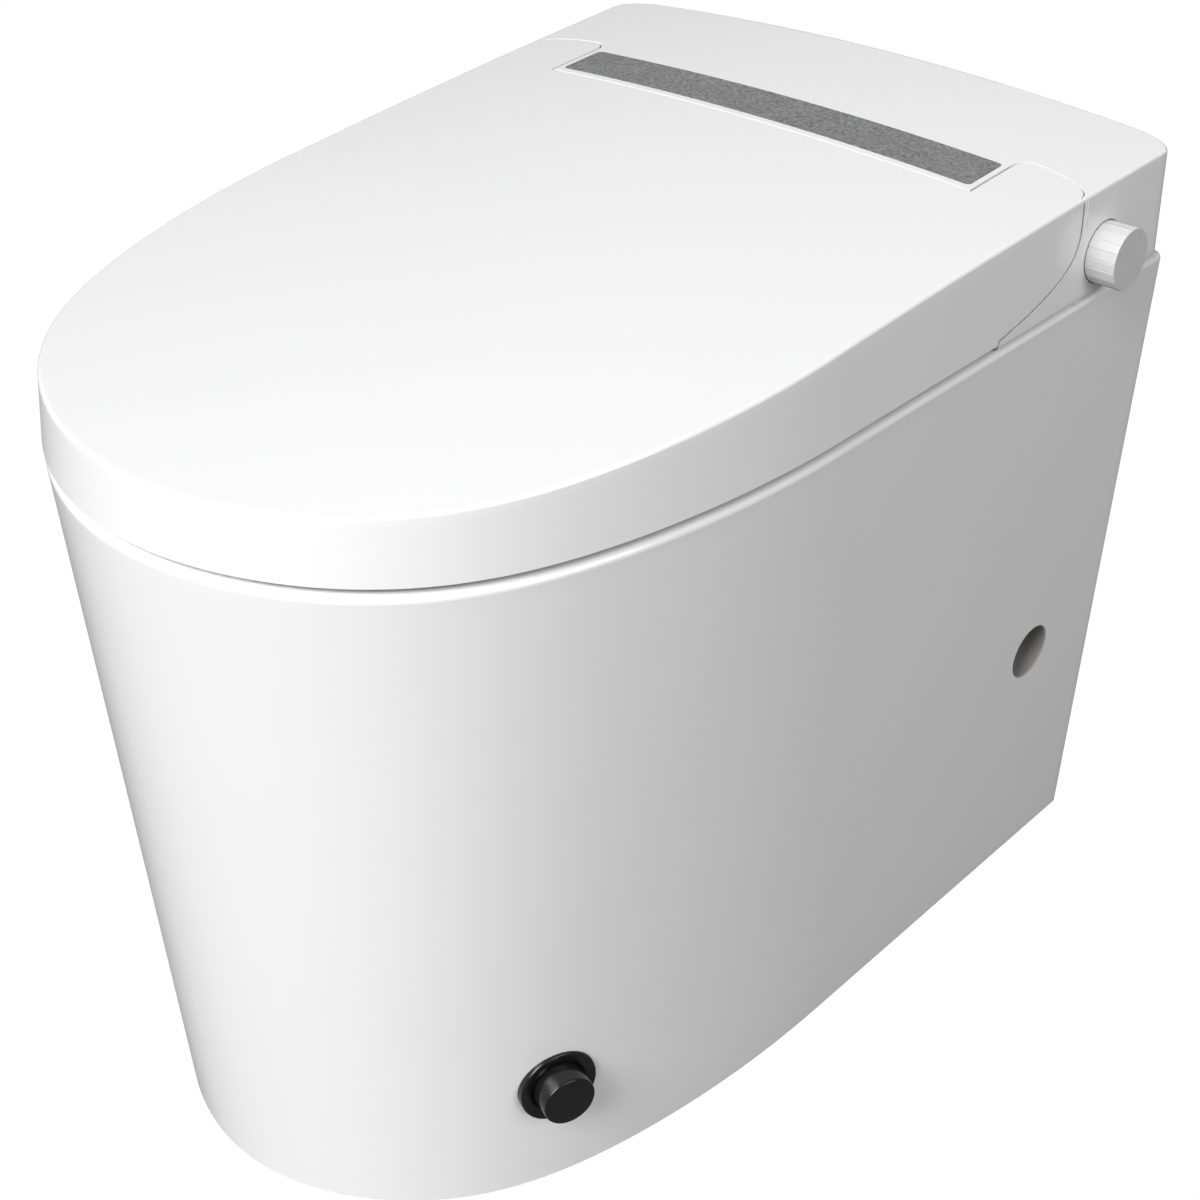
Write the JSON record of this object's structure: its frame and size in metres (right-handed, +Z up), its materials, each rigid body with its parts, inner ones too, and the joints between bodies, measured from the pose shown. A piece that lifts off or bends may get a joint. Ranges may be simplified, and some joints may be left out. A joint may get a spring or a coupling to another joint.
{
  "type": "smart toilet",
  "caption": "Skirted one-piece smart toilet with a soft-close lid and heated seat, display strip, side control knob, foot flush button and sliding wash nozzles.",
  "frame": {"origin": "floor plane, on the middle line of the pan's foot", "axes": "+Z up, -Y towards the user, +Y to the wall, +X to the knob side"},
  "size_m": [0.4216, 0.5844, 0.4842],
  "materials": {
    "glazed_white": "smooth white glaze",
    "hood_white": "gloss white moulding",
    "seat_white": "gloss white moulding",
    "knob_white": "satin white moulding",
    "strip_grey": "grey translucent window, matt",
    "button_black": "gloss black",
    "works_grey": "moulded grey",
    "works_black": "moulded black",
    "board_green": "circuit board",
    "film_amber": "heater film",
    "pin_steel": "ground steel",
    "inlet_brass": "machined",
    "seal_rubber": "moulded rubber",
    "buffer_rubber": "pale soft rubber"
  },
  "bodies": {
    "base": {"ceramic_pan": "glazed_white", "trap_pipe": "glazed_white", "floor_seal": "seal_rubber", "rear_cover": "hood_white", "display_window": "strip_grey", "display_board": "board_green", "hinge_blocks": "works_grey", "lid_pins": "pin_steel", "seat_pins": "pin_steel", "deck_gasket": "seal_rubber", "chassis_plate": "works_grey", "chassis_screws": "pin_steel", "control_board": "board_green", "water_heater": "works_grey", "booster_pump": "works_black", "flush_valve": "works_black", "inlet_fitting": "inlet_brass", "flush_pipe": "works_grey", "power_gland": "works_black", "nozzle_housing": "works_grey", "knob_encoder": "works_black", "foot_bezel": "button_black", "foot_switch": "works_black"},
    "lid": {"lid_shell": "hood_white", "lid_buffers": "buffer_rubber"},
    "seat": {"seat_top": "seat_white", "seat_base": "seat_white", "seat_heater": "film_amber", "seat_buffers": "buffer_rubber"},
    "knob_slider": {"knob_stem": "works_black"},
    "knob": {"control_knob": "knob_white"},
    "rear_nozzle": {"rear_wand": "knob_white"},
    "front_nozzle": {"front_wand": "knob_white"},
    "foot_cap": {"foot_button": "button_black"}
  },
  "joints": [
    {"name": "lid_hinge", "type": "hinge", "parent": "base", "child": "lid", "pos_m": [0, 0.183, 0.471], "axis": [-1, 0, 0], "range_deg": [0, 95]},
    {"name": "seat_hinge", "type": "hinge", "parent": "base", "child": "seat", "pos_m": [0, 0.168, 0.45], "axis": [-1, 0, 0], "range_deg": [0, 91]},
    {"name": "knob_press", "type": "slide", "parent": "base", "child": "knob_slider", "axis": [-1, 0, 0], "range_m": [0, 0.003], "stiffness_N_per_m": 800},
    {"name": "knob_turn", "type": "hinge", "parent": "knob_slider", "child": "knob", "pos_m": [0.21, 0.2145, 0.4355], "axis": [1, 0, 0], "continuous": true},
    {"name": "rear_nozzle_slide", "type": "slide", "parent": "base", "child": "rear_nozzle", "axis": [0, -0.9397, -0.342], "range_m": [0, 0.06]},
    {"name": "front_nozzle_slide", "type": "slide", "parent": "base", "child": "front_nozzle", "axis": [0, -0.9397, -0.342], "range_m": [0, 0.06]},
    {"name": "foot_press", "type": "slide", "parent": "base", "child": "foot_cap", "axis": [-0.9397, 0.342, 0], "range_m": [0, 0.008], "stiffness_N_per_m": 400}
  ],
  "couplings": [
    {"joint": "seat_hinge", "follows": "lid_hinge", "ratio": 0.95}
  ]
}
